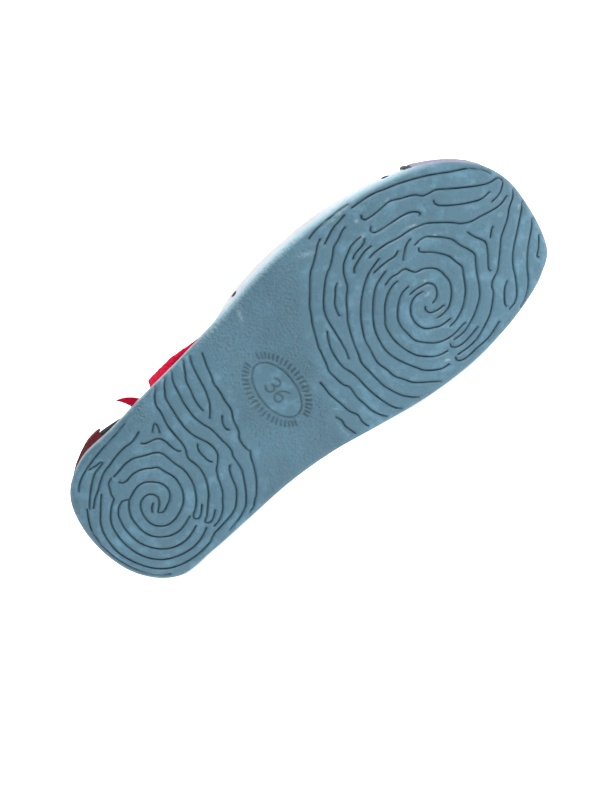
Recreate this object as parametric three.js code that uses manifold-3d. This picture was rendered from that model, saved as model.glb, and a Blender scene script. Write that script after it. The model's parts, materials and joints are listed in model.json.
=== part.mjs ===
// House slipper for the right foot, lying on its inner side.
// Everything is modelled in the shoe's own frame: x runs from the heel's tip to the toe,
// y from the outer side of the foot to the inner side, and z up from the ground.
// The last group then lays the finished shoe on its inner side, sole edge and cuff both down.

import * as THREE from 'three';
import { mergeVertices } from 'three/addons/utils/BufferGeometryUtils.js';
import Module from 'manifold-3d';

const wasm = await Module();
wasm.setup();

// Sole, in millimetres
const soleLength = 246.7;
const ballWidth = 94;
const foreThickness = 7;
const heelThickness = 13;
const toeSpring = 9;
const heelSpring = 1.5;
const shankRise = 2;
const edgeRound = 3.2;
const edgeBevel = 0.9;
const bevelInset = 1;
const sideStep = 0.9;
const stepDrop = 1.6;
const lipHeight = 3;
const lipWidth = 2;

// Upper
const upperWall = 2.4;
const outerBulge = 4.2;
const innerBulge = 2.2;
const ankleHeight = 82;
const instepHeight = 69;
const toeHeight = 37;
const heelBackHeight = 50;
const sideDipHeight = 21;
const throatAt = 118;
const throatRise = 4;
const openingDepth = 6;
const toeCurl = 30;
const heelCurl = 34;

// Overlays and lining
const insoleThickness = 4;
const insoleCrown = 1.2;
const cuffThickness = 3;
const cuffDrop = 12;
const cuffRise = 2.5;
const cuffRearAt = 63;
const cuffRearLean = 3;
const overlayThickness = 1.3;
const counterLength = 33;
const counterRake = 8;
const toeCapLength = 30.5;
const toeRake = 4;
const stripeWidth = 2.4;
const tabAt = 55;
const tabWidth = 7.2;
const tabReach = 9;
const tabSweep = 8.2;
const tabThickness = 1.6;
const tabLift = 0.3;

// Spacing between separate pieces
const clearance = 0.3;
const stations = 40;
const domeSteps = 13;

// Half widths of the sole as shares of half the ball width, at shares of its length
const outlineRows = [
  { at: 0, outer: 0, inner: 0 },
  { at: 0.02, outer: 0.447, inner: 0.468 },
  { at: 0.079, outer: 0.67, inner: 0.775 },
  { at: 0.158, outer: 0.712, inner: 0.792 },
  { at: 0.236, outer: 0.762, inner: 0.777 },
  { at: 0.335, outer: 0.814, inner: 0.757 },
  { at: 0.433, outer: 0.888, inner: 0.796 },
  { at: 0.532, outer: 0.981, inner: 0.88 },
  { at: 0.63, outer: 1.018, inner: 0.96 },
  { at: 0.729, outer: 0.992, inner: 0.985 },
  { at: 0.808, outer: 0.918, inner: 0.947 },
  { at: 0.878, outer: 0.8, inner: 0.876 },
  { at: 0.94, outer: 0.596, inner: 0.763 },
  { at: 0.981, outer: 0.357, inner: 0.58 },
  { at: 1, outer: 0, inner: 0 },
];

// Where the ground side lifts and the foot bed steps down, at shares of the sole's length
const ground = { heelFlat: 0.05, shankFrom: 0.295, shankTo: 0.57, toeBreak: 0.77 };
const bed = { from: 0.217, to: 0.63 };

// The last's ridge: shares between the named heights, how square the section over it is, and
// how much of the sides' bulge it has
const ridgeRows = [
  { at: 0, ankle: 1, instep: 0, toe: 0, square: 2.2, bulge: 0.3 },
  { at: 0.2, ankle: 1, instep: 0, toe: 0, square: 2.2, bulge: 0.35 },
  { at: 0.355, ankle: 0.72, instep: 0.28, toe: 0, square: 2.3, bulge: 0.7 },
  { at: 0.49, ankle: 0, instep: 1, toe: 0, square: 2.4, bulge: 1 },
  { at: 0.61, ankle: 0, instep: 0.72, toe: 0.28, square: 2.4, bulge: 1 },
  { at: 0.73, ankle: 0, instep: 0.36, toe: 0.64, square: 2.4, bulge: 1 },
  { at: 0.85, ankle: 0, instep: 0.06, toe: 0.94, square: 2.5, bulge: 1 },
  { at: 1, ankle: 0, instep: 0, toe: 1, square: 2.6, bulge: 1 },
];

// The collar's edge at shares of the throat's place along the shoe: how much of the heel's
// back it still has, and how far it has climbed from the side dip to the throat
const collarRows = [
  { at: -0.3, back: 1, climb: 0 },
  { at: 0, back: 1, climb: 0 },
  { at: 0.14, back: 0.95, climb: 0 },
  { at: 0.26, back: 0.69, climb: 0 },
  { at: 0.36, back: 0.24, climb: 0 },
  { at: 0.45, back: 0, climb: 0 },
  { at: 0.52, back: 0, climb: 0.07 },
  { at: 0.575, back: 0, climb: 0.27 },
  { at: 0.64, back: 0, climb: 0.46 },
  { at: 0.75, back: 0, climb: 0.61 },
  { at: 0.87, back: 0, climb: 0.77 },
  { at: 1, back: 0, climb: 1 },
  { at: 1.2, back: 0, climb: 1.5 },
];

// A smooth curve through a table's rows
function smooth(rows, column, at, place = (share) => share) {
  const t = place(at);
  let low = 0;
  while (low < rows.length - 2 && t > place(rows[low + 1].at)) low += 1;
  const spot = (index) => {
    const inside = Math.min(Math.max(index, 0), rows.length - 1);
    return { t: place(rows[inside].at), value: rows[inside][column] };
  };
  const from = spot(low);
  const to = spot(low + 1);
  const span = to.t - from.t;
  const slope = (a, b) => (b.t > a.t ? (b.value - a.value) / (b.t - a.t) : 0);
  const leaving = low === 0 ? slope(from, to) : slope(spot(low - 1), to);
  const arriving = low === rows.length - 2 ? slope(from, to) : slope(from, spot(low + 2));
  const u = (t - from.t) / span;
  return (
    from.value * (1 + 2 * u) * (1 - u) ** 2
    + to.value * u * u * (3 - 2 * u)
    + leaving * span * u * (1 - u) ** 2
    - arriving * span * u * u * (1 - u)
  );
}

// Half-turn places crowd the sections toward both ends, so the tips come out round
const turnOf = (share) => Math.acos(1 - 2 * Math.min(Math.max(share, 0), 1));
const shareOf = (turn) => (1 - Math.cos(turn)) / 2;

function halfWidth(turn, column) {
  return smooth(outlineRows, column, shareOf(turn), turnOf) * (ballWidth / 2);
}

// A point of the sole's outline, moved in by a distance along its own normal
function outlinePoint(station, side, inset) {
  const turn = (Math.PI * station) / stations;
  const column = side < 0 ? 'outer' : 'inner';
  const width = side * halfWidth(turn, column);
  const along = soleLength * shareOf(turn);
  const reach = 0.01;
  const ahead = Math.min(turn + reach, Math.PI);
  const behind = Math.max(turn - reach, 0);
  const run = soleLength * (shareOf(ahead) - shareOf(behind));
  const swell = side * (halfWidth(ahead, column) - halfWidth(behind, column));
  const tip = station === 0 || station === stations;
  const stretch = Math.hypot(run, swell);
  const normalX = tip ? Math.sign(station - 0.5) : (-side * swell) / stretch;
  const normalY = tip ? 0 : (side * run) / stretch;
  return { x: along - inset * normalX, y: width - inset * normalY };
}

// Heights of the sole's two faces
const ease = (share) => (1 - Math.cos(Math.PI * Math.min(Math.max(share, 0), 1))) / 2;
const bump = (share) => (share > 0 && share < 1 ? Math.sin(Math.PI * share) ** 2 : 0);

function toeLift(x) {
  const share = (x / soleLength - ground.toeBreak) / (1 - ground.toeBreak);
  return share > 0 ? toeSpring * share * share : 0;
}

function groundHeight(x) {
  const heel = 1 - x / (soleLength * ground.heelFlat);
  const shank = (x / soleLength - ground.shankFrom) / (ground.shankTo - ground.shankFrom);
  return toeLift(x) + shankRise * bump(shank) + (heel > 0 ? heelSpring * heel * heel : 0);
}

function bedHeight(x) {
  const blend = ease((x / soleLength - bed.from) / (bed.to - bed.from));
  return heelThickness + (foreThickness - heelThickness) * blend + toeLift(x);
}

// A ring around the whole outline, outer side from heel to toe and inner side back again
function ring(insetAt, heightAt) {
  const points = [];
  const place = (station, side) => {
    const flat = outlinePoint(station, side, insetAt(station, side));
    points.push([flat.x, flat.y, heightAt(flat.x, station, side)]);
  };
  for (let station = 0; station <= stations; station += 1) place(station, -1);
  for (let station = stations - 1; station > 0; station -= 1) place(station, 1);
  return points;
}

// A closed solid through rings of equal count, with strips across its first and last ring
function loft(rings) {
  const count = rings[0].length;
  const positions = rings.flat(2);
  const faces = [];
  for (let level = 0; level + 1 < rings.length; level += 1) {
    for (let spot = 0; spot < count; spot += 1) {
      const a = level * count + spot;
      const b = level * count + ((spot + 1) % count);
      faces.push([a, a + count, b], [b, a + count, b + count]);
    }
  }
  const strip = (offset, up) => {
    for (let spot = 0; spot < stations; spot += 1) {
      const far = offset + ((count - spot) % count);
      const farNext = offset + ((count - spot - 1) % count);
      const near = offset + spot;
      const nearNext = offset + spot + 1;
      const pair = [[near, nearNext, far], [nearNext, farNext, far]];
      faces.push(...(up ? pair : pair.map(([a, b, c]) => [a, c, b])));
    }
  };
  strip(0, true);
  strip((rings.length - 1) * count, false);
  return solidFrom(positions, faces.flat());
}

// Geometry to and from the solids that are cut and joined
const mergeWithin = 0.004;
function solidFrom(positions, index) {
  const open = new THREE.BufferGeometry();
  open.setAttribute('position', new THREE.Float32BufferAttribute(positions, 3));
  open.setIndex(index);
  return solidOf(open);
}

function solidOf(geometry) {
  const bare = geometry.clone();
  bare.deleteAttribute('normal');
  bare.deleteAttribute('uv');
  const merged = mergeVertices(bare, 1e-4);
  const corners = merged.index.array;
  const kept = [];
  for (let spot = 0; spot < corners.length; spot += 3) {
    const [a, b, c] = [corners[spot], corners[spot + 1], corners[spot + 2]];
    if (a !== b && b !== c && c !== a) kept.push(a, b, c);
  }
  const solid = new wasm.Manifold(new wasm.Mesh({
    numProp: 3,
    vertProperties: new Float32Array(merged.attributes.position.array),
    triVerts: new Uint32Array(kept),
  }));
  if (solid.volume() > 0) return solid;
  const turned = kept.map((value, spot) => kept[spot + [0, 1, -1][spot % 3]]);
  return new wasm.Manifold(new wasm.Mesh({
    numProp: 3,
    vertProperties: new Float32Array(merged.attributes.position.array),
    triVerts: new Uint32Array(turned),
  }));
}

function geometryOf(solid) {
  const mesh = solid.simplify(mergeWithin).getMesh();
  const geometry = new THREE.BufferGeometry();
  const points = new Float32Array(mesh.vertProperties);
  geometry.setAttribute('position', new THREE.BufferAttribute(points, 3));
  geometry.setIndex(new THREE.BufferAttribute(new Uint32Array(mesh.triVerts), 1));
  geometry.computeVertexNormals();
  return geometry;
}

// A prism across the whole shoe from a side view, as [x, z] corners
const sideSpan = ballWidth * 2;
function sidePrism(corners) {
  const shape = new THREE.Shape(corners.map(([x, z]) => new THREE.Vector2(x, z)));
  const prism = new THREE.ExtrudeGeometry(shape, { depth: sideSpan, bevelEnabled: false });
  prism.rotateX(Math.PI / 2);
  prism.translate(0, sideSpan / 2, 0);
  return solidOf(prism);
}

// The outline of the foot's space and of every layer over it
const feather = lipWidth + sideStep + clearance;
const base = (x) => bedHeight(x) + clearance;
const overLip = (x) => base(x) + lipHeight;

// How far the ridge follows the sole's middle line to either side
const ridgeShift = 0.6;
function ridge(station) {
  const along = soleLength * shareOf((Math.PI * station) / stations);
  const x = Math.min(Math.max(along, heelCurl), soleLength - toeCurl);
  const at = x / soleLength;
  const height = smooth(ridgeRows, 'ankle', at) * ankleHeight
    + smooth(ridgeRows, 'instep', at) * instepHeight
    + smooth(ridgeRows, 'toe', at) * toeHeight;
  const turn = turnOf(at);
  const y = (halfWidth(turn, 'inner') - halfWidth(turn, 'outer')) / 2;
  return {
    x,
    y: y * ridgeShift,
    z: height,
    square: smooth(ridgeRows, 'square', at),
    bulge: smooth(ridgeRows, 'bulge', at),
  };
}

// The upper's outer form, grown by an offset, or its hollow where the offset is negative
function form(offset, openBelow = 0) {
  const rings = [];
  const straight = (height) => ring(() => feather - offset, height);
  if (openBelow > 0) rings.push(straight((x) => base(x) - openBelow));
  rings.push(straight(base));
  rings.push(straight(overLip));
  for (let step = 1; step <= domeSteps; step += 1) {
    const rise = Math.sin((Math.PI / 2) * (step / domeSteps));
    const swell = (27 / 4) * rise * (1 - rise) ** 2;
    const level = ring(
      (station, side) => {
        const bulge = side < 0 ? outerBulge : innerBulge;
        return feather - offset - swell * bulge * ridge(station).bulge;
      },
      (x) => overLip(x),
    );
    rings.push(level.map(([x, y, z], spot) => {
      const station = spot <= stations ? spot : 2 * stations - spot;
      const top = ridge(station);
      const spread = step === domeSteps ? 0 : (1 - rise ** top.square) ** (1 / top.square);
      return [
        top.x + (x - top.x) * spread,
        top.y + (y - top.y) * spread,
        z + (top.z + offset - z) * rise,
      ];
    }));
  }
  return loft(rings);
}

// The collar's edge seen from the side, and strips beside it
const throatHeight = instepHeight + throatRise;
function collarLine(shift) {
  const points = [];
  const steps = 38;
  const first = collarRows[0].at;
  const last = collarRows[collarRows.length - 1].at;
  for (let step = 0; step <= steps; step += 1) {
    const at = first + ((last - first) * step) / steps;
    const x = at * throatAt;
    const back = smooth(collarRows, 'back', at);
    const climbed = sideDipHeight + smooth(collarRows, 'climb', at) * (throatHeight - sideDipHeight);
    const z = back * heelBackHeight + (1 - back) * climbed;
    points.push([x, z]);
  }
  return points.map(([x, z], spot) => {
    const before = points[Math.max(spot - 1, 0)];
    const after = points[Math.min(spot + 1, points.length - 1)];
    const run = after[0] - before[0];
    const rise = after[1] - before[1];
    const stretch = Math.hypot(run, rise);
    return [x - (shift * rise) / stretch, z + (shift * run) / stretch];
  });
}

const skyHigh = ankleHeight * 2;
function aboveCollar(shift) {
  const line = collarLine(shift);
  const end = line[line.length - 1];
  return sidePrism([...line, [end[0], skyHigh], [line[0][0], skyHigh]]);
}

// Everything above the sole's lip, so that an overlay clears it
const overlayFloor = lipHeight + 2 * clearance;
const overhang = soleLength / 10;
function aboveLip() {
  const corners = [];
  for (let station = 0; station <= stations; station += 1) {
    const x = (soleLength + 2 * overhang) * (station / stations) - overhang;
    corners.push([x, base(x) + overlayFloor]);
  }
  corners.push([soleLength + overhang, skyHigh], [-overhang, skyHigh]);
  return sidePrism(corners);
}

// Outsole
function makeOutsole() {
  const level = (inset, height) => ring(() => inset, height);
  const inside = sideStep + lipWidth;
  return loft([
    level(edgeRound, groundHeight),
    level(bevelInset, (x) => groundHeight(x) + edgeBevel),
    level(0, (x) => groundHeight(x) + edgeRound),
    level(0, (x) => bedHeight(x) - stepDrop),
    level(sideStep, (x) => bedHeight(x) - stepDrop + sideStep),
    level(sideStep, (x) => bedHeight(x) + lipHeight),
    level(inside, (x) => bedHeight(x) + lipHeight),
    level(inside, bedHeight),
  ]);
}

// Insole, rounded along its top edge
function makeInsole() {
  const seat = feather + upperWall + clearance;
  const level = (inset, rise) => ring(() => seat + inset, (x) => base(x) + rise);
  return loft([
    level(0, 0),
    level(0, insoleThickness - insoleCrown),
    level(insoleCrown, insoleThickness),
  ]);
}

// Upper, open underneath and at the collar
const outerForm = form(0);
const gapForm = form(clearance);
const lipCut = aboveLip();
const collarCut = aboveCollar(0);

function makeUpper() {
  return outerForm.subtract(form(-upperWall, openingDepth)).subtract(collarCut);
}

// Cuff, a thick roll that hooks over the collar's edge in front of the side dips
function makeCuff() {
  const thick = form(cuffThickness).intersect(lipCut);
  const band = aboveCollar(-cuffDrop).subtract(aboveCollar(cuffRise));
  const outside = thick.subtract(gapForm).intersect(band);
  const rim = thick.subtract(form(-upperWall, openingDepth)).intersect(aboveCollar(clearance));
  const hook = rim.subtract(aboveCollar(cuffRise));
  const front = sidePrism([
    [cuffRearAt, 0],
    [soleLength, 0],
    [soleLength, skyHigh],
    [cuffRearAt - cuffRearLean, skyHigh],
  ]);
  return outside.add(hook).intersect(front);
}

// An overlay between two larger forms, kept below the collar and inside a side view
function overlay(thickness, corners) {
  const layer = form(thickness + clearance).subtract(gapForm);
  return layer.intersect(lipCut).intersect(sidePrism(corners));
}

function makeHeelCounter() {
  const low = overlay(overlayThickness, [
    [-overhang, 0],
    [counterLength, 0],
    [counterLength - counterRake, skyHigh],
    [-overhang, skyHigh],
  ]);
  return low.subtract(aboveCollar(-clearance));
}

// Toe cap and the stripe behind it, both with a rear edge that leans back over the foot
const toeEdge = soleLength - toeCapLength;
function toeBand(from, to) {
  const corners = [
    [from, 0], [to, 0], [to - toeRake, skyHigh / 2], [from - toeRake, skyHigh / 2],
  ];
  return overlay(overlayThickness, corners);
}

const makeToeCap = () => toeBand(toeEdge, toeEdge + soleLength);
const makeToeStripe = () => toeBand(toeEdge - stripeWidth - clearance, toeEdge - clearance);

// Pointed tab that stands out of the outer side behind the cuff, its tip swept to the heel
function makeSideTab() {
  const wall = halfWidth(turnOf(tabAt / soleLength), 'outer') - feather;
  const root = -wall + upperWall;
  const tip = new THREE.Vector2(tabAt - tabSweep, -wall - tabReach);
  const shape = new THREE.Shape();
  shape.moveTo(tabAt + tabWidth / 2, root);
  shape.quadraticCurveTo(tabAt, tip.y + tabReach / 4, tip.x, tip.y);
  shape.quadraticCurveTo(tabAt - tabWidth / 2, -wall - tabReach / 3, tabAt - tabWidth / 2, root);
  shape.closePath();
  const flat = new THREE.ExtrudeGeometry(shape, {
    depth: tabThickness, bevelEnabled: false, curveSegments: 6,
  });
  flat.translate(0, 0, base(tabAt) + overlayFloor + tabLift);
  return solidOf(flat).subtract(gapForm);
}

// The nodes, each with its own finish
const pieces = [
  { name: 'outsole', solid: makeOutsole(), colour: 0x5f87a0, roughness: 0.55 },
  { name: 'insole', solid: makeInsole(), colour: 0xa3202c, roughness: 0.95 },
  { name: 'upper', solid: makeUpper(), colour: 0xf2f1ee, roughness: 0.9 },
  { name: 'cuff', solid: makeCuff(), colour: 0xb3182a, roughness: 0.95 },
  { name: 'heel_counter', solid: makeHeelCounter(), colour: 0x4a0d14, roughness: 0.9 },
  { name: 'toe_cap', solid: makeToeCap(), colour: 0x8d86a3, roughness: 0.9 },
  { name: 'toe_stripe', solid: makeToeStripe(), colour: 0x17151a, roughness: 0.85 },
  { name: 'side_tab', solid: makeSideTab(), colour: 0xb3182a, roughness: 0.9 },
];

const shoe = new THREE.Group();
for (const { name, solid, colour, roughness } of pieces) {
  const material = new THREE.MeshStandardMaterial({ color: colour, roughness, metalness: 0 });
  const mesh = new THREE.Mesh(geometryOf(solid), material);
  mesh.name = name;
  shoe.add(mesh);
}

// The plane that the inner side rests on: heel edge, ball edge and the furthest point of the upper
function cornersOf(names) {
  const points = [];
  for (const mesh of shoe.children) {
    if (!names.includes(mesh.name)) continue;
    const place = mesh.geometry.attributes.position;
    for (let spot = 0; spot < place.count; spot += 1) {
      points.push(new THREE.Vector3().fromBufferAttribute(place, spot));
    }
  }
  return points;
}

function restingNormal() {
  const sole = cornersOf(['outsole']);
  const sets = [
    sole.filter((point) => point.x < soleLength / 2),
    sole.filter((point) => point.x > soleLength / 2),
    cornersOf(['upper', 'cuff', 'heel_counter', 'toe_cap']),
  ];
  let normal = new THREE.Vector3(0, 1, 0);
  for (let round = 0; round < 20; round += 1) {
    const furthest = (set) => set.reduce((best, point) => (
      point.dot(normal) > best.dot(normal) ? point : best
    ));
    const [heel, ball, side] = sets.map(furthest);
    const across = ball.clone().sub(heel).cross(side.clone().sub(heel)).normalize();
    normal = across.y > 0 ? across : across.negate();
  }
  return normal;
}

const down = restingNormal();
const worldZ = down.clone().negate();
const worldX = new THREE.Vector3(1, 0, 0).addScaledVector(worldZ, -worldZ.x).normalize();
const worldY = worldZ.clone().cross(worldX);
const turned = new THREE.Matrix4().makeBasis(worldX, worldY, worldZ).invert();
shoe.quaternion.setFromRotationMatrix(turned);

const slipper = new THREE.Group();
slipper.add(shoe);
slipper.updateMatrixWorld(true);
const space = new THREE.Box3().setFromObject(slipper, true);
const centre = space.getCenter(new THREE.Vector3());
shoe.position.set(-centre.x, -centre.y, -space.min.z);

export default slipper;
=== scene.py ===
"""A soft house slipper for the right foot, lying on its inner side with the tread in view."""

import json
import math
import random

import bpy
import numpy as np
from mathutils import Matrix, Vector, kdtree
from mathutils.bvhtree import BVHTree


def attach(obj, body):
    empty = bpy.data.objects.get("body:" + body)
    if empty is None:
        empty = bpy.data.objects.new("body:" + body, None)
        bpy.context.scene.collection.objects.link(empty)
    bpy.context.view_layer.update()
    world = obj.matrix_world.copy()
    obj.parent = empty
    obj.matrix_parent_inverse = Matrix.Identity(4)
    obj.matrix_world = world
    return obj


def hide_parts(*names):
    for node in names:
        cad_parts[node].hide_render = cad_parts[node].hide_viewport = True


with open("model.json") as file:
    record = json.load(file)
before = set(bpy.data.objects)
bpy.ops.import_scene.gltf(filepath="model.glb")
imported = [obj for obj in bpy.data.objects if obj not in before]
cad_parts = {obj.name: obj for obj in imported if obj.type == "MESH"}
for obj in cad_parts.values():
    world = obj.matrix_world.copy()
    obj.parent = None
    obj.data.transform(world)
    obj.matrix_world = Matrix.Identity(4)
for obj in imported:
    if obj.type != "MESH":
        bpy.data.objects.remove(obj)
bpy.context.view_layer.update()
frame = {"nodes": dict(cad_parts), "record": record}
MM = 0.001

bl_info = {
    "name": "House slipper",
    "version": (1, 0, 0),
    "blender": (4, 5, 0),
    "location": "3D View > Sidebar > Slipper",
    "description": "Makes a felt house slipper with a moulded rubber sole round its fixed solids",
    "category": "Add Mesh",
}

# The shoe's own frame: x from heel to toe, y from the outer side to the inner side, z up from the
# ground, in millimetres. The two flat spots of the tread give its place in the row frame.
SPOT_HEEL = 40
MOUNTS = {mount["name"]: mount for mount in frame["record"]["mounts"]}
HEEL_SPOT = Vector(MOUNTS["tread_heel"]["pos_m"])
SHOE_X = (Vector(MOUNTS["tread_forefoot"]["pos_m"]) - HEEL_SPOT).normalized()
SHOE_Z = -Vector(MOUNTS["tread_heel"]["axis"]).normalized()
SHOE_Y = SHOE_Z.cross(SHOE_X).normalized()
SHOE_ORIGIN = HEEL_SPOT - SHOE_X * SPOT_HEEL * MM
AXES = np.array([SHOE_X, SHOE_Y, SHOE_Z])
ORIGIN = np.array(SHOE_ORIGIN)


def to_row(points):
    return np.asarray(points, float) * MM @ AXES + ORIGIN


def to_shoe(points):
    return (np.asarray(points, float) - ORIGIN) @ AXES.T / MM


def coordinates(mesh):
    flat = np.empty(len(mesh.vertices) * 3)
    mesh.vertices.foreach_get("co", flat)
    return flat.reshape(-1, 3)


# Sizes of the sole's solid: its length read from the frame, the rest given
SOLE_POINTS = to_shoe(coordinates(frame["nodes"]["outsole"].data))
LENGTH = float(SOLE_POINTS[:, 0].max())
HALF_BALL = 47.0
EDGE_ROUND = 3.2
SIDE_STEP = 0.9
LIP_HEIGHT = 3.0
LIP_WIDTH = 2.0
STEP_DROP = 1.6
HEEL_THICK = 13.0
FORE_THICK = 7.0
TOE_SPRING = 9.0
HEEL_SPRING = 1.5
SHANK_RISE = 2.0
HEEL_FLAT = 0.05
SHANK_FROM = 0.295
SHANK_TO = 0.57
TOE_BREAK = 0.77
THIN_FROM = 0.217
THIN_SPAN = 0.413

# Half widths of the sole as shares of half the ball width, at shares of its length
OUTLINE = np.array([
    (0, 0, 0), (0.02, 0.447, 0.468), (0.079, 0.67, 0.775), (0.158, 0.712, 0.792),
    (0.236, 0.762, 0.777), (0.335, 0.814, 0.757), (0.433, 0.888, 0.796), (0.532, 0.981, 0.88),
    (0.63, 1.018, 0.96), (0.729, 0.992, 0.985), (0.808, 0.918, 0.947), (0.878, 0.8, 0.876),
    (0.94, 0.596, 0.763), (0.981, 0.357, 0.58), (1, 0, 0),
])
OUTLINE_TURN = np.arccos(1 - 2 * OUTLINE[:, 0])

# Tread grooves in the shoe's millimetres, charted: the knots of each line. The chart's
# middle line lies to the inner side of the shoe's
CHART_MIDDLE = 1.3
HEEL_GROOVES = [
    [(31.2, 8.8), (32.8, 7.5), (34.3, 6), (35.2, 4), (34.6, 1.8), (33, 0.3), (31, -0.1),
     (28.5, 0.6), (26.5, 2.5), (25.2, 6), (25.1, 9.5), (25.8, 12), (27.5, 14.3), (30, 16),
     (32.5, 16.4), (36, 16), (39, 14.9), (42, 13.2), (44, 11), (45.6, 8), (46.5, 4),
     (46.4, 1), (45, -3), (43.7, -6.5),
     (41.5, -8), (39, -9.6), (36, -10.8), (33, -11.2), (30, -10.7), (28.5, -10.7), (27.2, -11.3),
     (26.7, -12.4)],
    [(31.2, 8.8), (31.1, 9.4), (32, 10.1), (33.3, 10.4), (35.8, 9.4), (38.5, 8), (40.3, 6),
     (41.1, 3.2), (40.4, 0.2), (38, -2.8), (35, -5), (32, -5.6), (29, -5), (26.5, -4), (25, -3.5),
     (23.8, -4.1), (22, -4.8), (20, -4.1), (17.3, -1.8), (15.8, 2), (15.1, 6), (15.2, 10),
     (16, 14.5), (18.3, 19), (21.3, 22.6), (25, 25.2), (28.5, 26.4), (32.5, 26.8), (36.5, 26),
     (40, 24.6)],
    [(31.9, 4.6), (30.2, 5.8), (29, 7.5)],
    [(25, -3.5), (22.6, -0.8), (20.8, 2.5), (20.2, 6), (20.3, 10.5), (21.5, 14.5), (24, 17.8),
     (27, 20), (30, 21.2), (33, 21.6), (36.5, 21), (39.5, 19.8), (40.6, 19.6)],
    [(26.5, -15.7), (29, -16), (32, -16.6), (35.5, -16.8), (38.5, -16.3), (40.5, -15.3),
     (44.6, -13.4), (47, -12.3), (48.7, -10.9), (49.5, -9), (50, -6.5), (50.5, -3.5), (51.6, 0.5),
     (51.9, 3), (51.6, 6.5), (50.5, 10.5), (49, 13.5), (47, 16.3), (45, 18.3), (43, 19.5),
     (41.7, 20.7), (41.6, 21.9), (42.8, 22.7), (44.6, 22.2), (46.5, 20.6), (48, 19)],
    [(66, -35.5), (64.5, -33.5), (62.5, -31), (60.8, -28), (60.5, -25), (60, -22.5), (59.2, -19.5),
     (58.8, -16), (58.8, -8), (58.3, -5), (57.3, -3), (56.6, -1), (57.1, 1.5), (57.6, 5),
     (57.3, 8.5), (56.3, 12), (54.8, 15), (52.8, 17.8), (50.2, 20.5), (47.8, 23), (46, 24.6),
     (44.5, 25.4), (44.2, 26.4), (45.2, 27.4), (47, 27.3), (49, 26.2), (51, 24.6)],
    [(71.5, -35.5), (69.5, -33), (67.5, -30), (66.3, -28.3), (65.5, -25), (65, -21.5), (64.5, -18),
     (64.2, -14), (64.3, -11), (64.8, -8), (65.7, -5.5), (66.8, -3), (67.8, -0.5), (68.3, 3),
     (67.7, 6), (66.2, 8), (64.3, 9.8), (62.7, 11.3), (61.3, 14), (60, 17.5), (58.3, 21),
     (56, 23.7), (54.3, 26), (52, 28), (49.5, 29.3), (46, 30)],
    [(68.8, 13.2), (67.5, 14.5), (66.3, 17), (65.3, 20), (64.3, 23), (62.8, 25.3), (60.5, 27.8),
     (58, 29.9), (55, 31), (52, 31.5), (47, 32.2), (44, 32.6), (40.5, 34.2)],
    [(75.5, -35.5), (74, -33), (72.8, -30.2), (72.2, -27.5), (71.5, -24.5), (70.8, -21.5),
     (70.5, -18), (70.3, -14), (70.7, -11), (71.5, -8), (72.6, -5), (73, -1.5), (73.2, 2),
     (73.6, 6), (73.4, 9), (72.4, 11), (72, 15), (71.5, 18), (70.2, 21), (68.7, 23.7),
     (67, 26.5), (64.8, 29.5), (62.5, 32), (59.5, 33.5), (56.5, 34.5), (53, 35.3), (50, 36)],
    [(91, -33), (90, -30), (89, -27.5), (88, -24), (87.5, -22), (86.4, -19.5), (86.1, -14.5),
     (85.5, -11.5), (85.2, -8.5), (84.7, -5), (82.8, -1.5), (82.3, 0.5), (81.2, 4.5), (80, 6),
     (79.2, 8), (79, 11), (79.2, 13.3), (79.8, 14), (78.8, 15.5), (77.8, 17.3), (77, 19.5),
     (75.8, 22), (74.5, 24.5), (73, 26.8), (71.2, 29), (69.5, 31), (67, 32.8), (65, 34.5),
     (62, 35.5)],
    [(63.9, -3.2), (62.8, -1.8), (62.3, 0), (62.4, 3), (62.8, 5.5), (63.6, 7)],
    [(45.2, -19.2), (46.3, -18.2), (48.5, -17.5), (51, -16.8), (52.8, -15.5), (53.8, -13),
     (54.1, -10.5), (54.5, -8.5), (55.3, -6.3), (56, -5.7)],
    [(52, -20), (53.5, -21.3), (54.8, -22.3), (55.5, -21.8), (55.2, -20), (54.2, -17.6)],
    [(10.5, -10.5), (14, -13.5), (17, -15.2), (20, -17.3), (24, -19.7), (28.5, -20.8), (33, -22),
     (38, -22.6), (42, -22.4), (45, -23), (47.5, -24)],
    [(75.2, -13.2), (75, -15), (75.3, -18.5), (75.9, -21), (76.7, -23.5), (77.3, -26.5),
     (78, -28.5), (79.5, -30.5), (81.5, -34), (82.5, -36)],
    [(75.2, -8.6), (76.5, -10), (78.2, -12), (79.6, -14), (80.5, -16.5), (81.8, -20),
     (82.5, -23.5), (83, -26), (83.6, -29), (84.5, -32), (86, -35.5)],
    [(80.2, -6), (78.6, -4), (77.8, -1.5), (77.9, 0), (78.5, 0.8)],
    [(25, -15.9), (22.5, -14.5), (21.3, -12.3), (20.3, -10), (20, -8), (17, -6), (13.5, -2.5),
     (11.6, 1), (10.8, 5), (10.7, 10), (11.5, 15), (13.3, 20), (16, 24), (19.5, 27.3),
     (23.5, 29.4), (28, 30.8), (33, 31.3), (37.5, 30.7), (40.5, 29.6), (43, 28.3)],
    [(17, -13), (12.5, -8), (9, -4), (7, 0), (6, 5), (5.8, 10), (6.8, 15), (8.8, 20),
     (11.5, 24.8), (15, 29), (19, 32), (24, 34), (30, 35), (36, 35), (40.5, 34.3)],
    [(8, -12), (5, -7), (3, -2), (2.3, 5), (2.8, 11), (4.5, 17), (7, 23), (10, 28), (13.5, 31.8),
     (17.5, 34.5)],
    [(9, -11.5), (13, -15.8), (17, -19.3), (21, -22), (24.5, -22.9), (26.5, -23.6), (26.2, -24.3),
     (24.5, -24.3), (20, -25)],
    [(10.5, -20.5), (14, -23.5), (20, -26), (26, -27.5), (31, -28.5), (38, -29.5), (45, -31)],
]
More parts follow.
